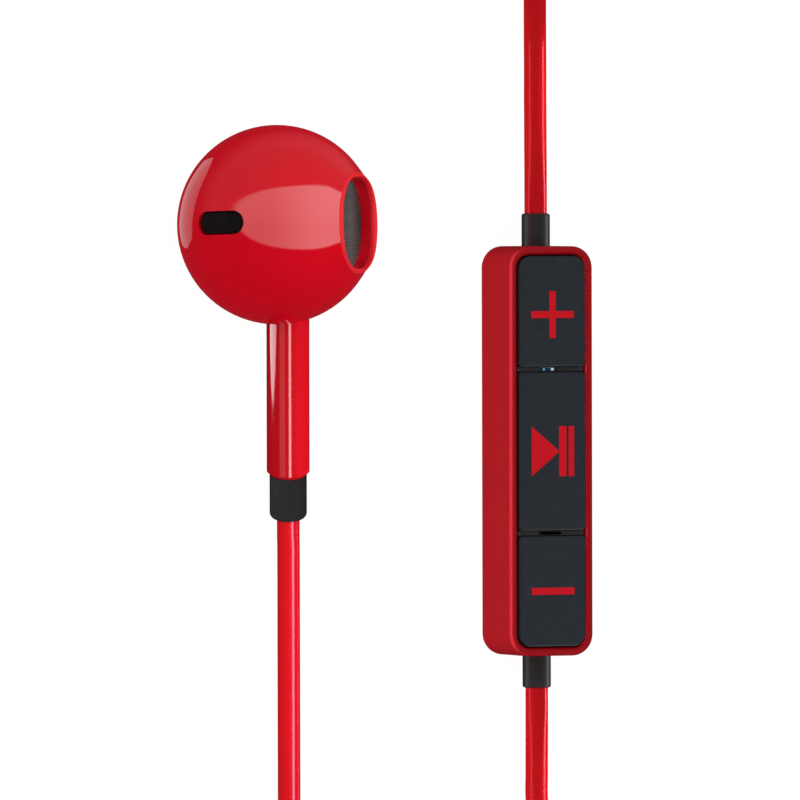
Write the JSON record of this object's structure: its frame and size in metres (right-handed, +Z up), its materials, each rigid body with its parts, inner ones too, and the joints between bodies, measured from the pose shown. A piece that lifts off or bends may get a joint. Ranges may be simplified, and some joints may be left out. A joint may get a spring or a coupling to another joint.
{
  "type": "in-ear earphones",
  "caption": "Round glossy red earpieces on short stems, joined by a red cord through a slim in-line control with black volume and play keys.",
  "frame": {"origin": "centre of the in-line control's flat back face, which lies on the surface with the earpieces and the cord", "axes": "+X across the control, away from the left earpiece; +Y along the control towards the plus key and the right earpiece; +Z up, out of the keys"},
  "size_m": [0.0427, 0.1621, 0.0183],
  "materials": {
    "control_red": "smooth, low sheen",
    "shell_red": "high gloss",
    "cord_red": "satin",
    "symbol_red": "painted",
    "key_black": "fine matt",
    "relief_black": "satin",
    "mesh_grey": "woven, dark",
    "white_resin": "moulded",
    "black_resin": "moulded",
    "clear_resin": "clear",
    "lamp_resin": "lit blue",
    "board_green": "solder mask over fibreglass",
    "bright_steel": "stamped",
    "plated_can": "plated",
    "white_ceramic": "fired",
    "cell_foil": "foil pouch",
    "black_foam": "foam",
    "copper": "enamelled",
    "plated_iron": "plated",
    "magnet": "nickel plated",
    "film": "thin film",
    "thin_metal": "pressed"
  },
  "bodies": {
    "earphones": {"control_housing": "control_red", "key_frame": "key_black", "circuit_board": "board_green", "key_domes": "bright_steel", "light_pipe": "clear_resin", "lamp_diodes": "lamp_resin", "microphone": "plated_can", "radio_module": "bright_steel", "chip_antenna": "white_ceramic", "battery": "cell_foil", "battery_pad": "black_foam", "charging_port": "bright_steel", "contact_tongue": "black_resin", "board_leads": "copper", "top_relief": "relief_black", "bottom_relief": "relief_black", "left_front_housing": "shell_red", "left_rear_housing": "shell_red", "left_nozzle_mesh": "mesh_grey", "left_vent_meshes": "mesh_grey", "left_driver_frame": "white_resin", "left_yoke": "plated_iron", "left_magnet": "magnet", "left_pole_plate": "plated_iron", "left_voice_coil": "copper", "left_diaphragm": "film", "left_driver_cover": "thin_metal", "left_terminal_board": "board_green", "left_lead_wires": "copper", "left_relief": "relief_black", "right_front_housing": "shell_red", "right_rear_housing": "shell_red", "right_nozzle_mesh": "mesh_grey", "right_vent_meshes": "mesh_grey", "right_driver_frame": "white_resin", "right_yoke": "plated_iron", "right_magnet": "magnet", "right_pole_plate": "plated_iron", "right_voice_coil": "copper", "right_diaphragm": "film", "right_driver_cover": "thin_metal", "right_terminal_board": "board_green", "right_lead_wires": "copper", "right_relief": "relief_black", "left_cord": "cord_red", "cord_coil": "cord_red", "control_cord": "cord_red", "right_cord": "cord_red"},
    "plus_button": {"plus_key": "key_black", "plus_symbol": "symbol_red"},
    "play_button": {"play_key": "key_black", "play_symbol": "symbol_red"},
    "minus_button": {"minus_key": "key_black", "minus_symbol": "symbol_red"}
  },
  "joints": [
    {"name": "plus_press", "type": "slide", "parent": "earphones", "child": "plus_button", "axis": [0, 0, -1], "range_m": [0, 0.00025], "stiffness_N_per_m": 3000, "springref_m": -0.0002},
    {"name": "play_press", "type": "slide", "parent": "earphones", "child": "play_button", "axis": [0, 0, -1], "range_m": [0, 0.00025], "stiffness_N_per_m": 3000, "springref_m": -0.0002},
    {"name": "minus_press", "type": "slide", "parent": "earphones", "child": "minus_button", "axis": [0, 0, -1], "range_m": [0, 0.00025], "stiffness_N_per_m": 3000, "springref_m": -0.0002}
  ]
}
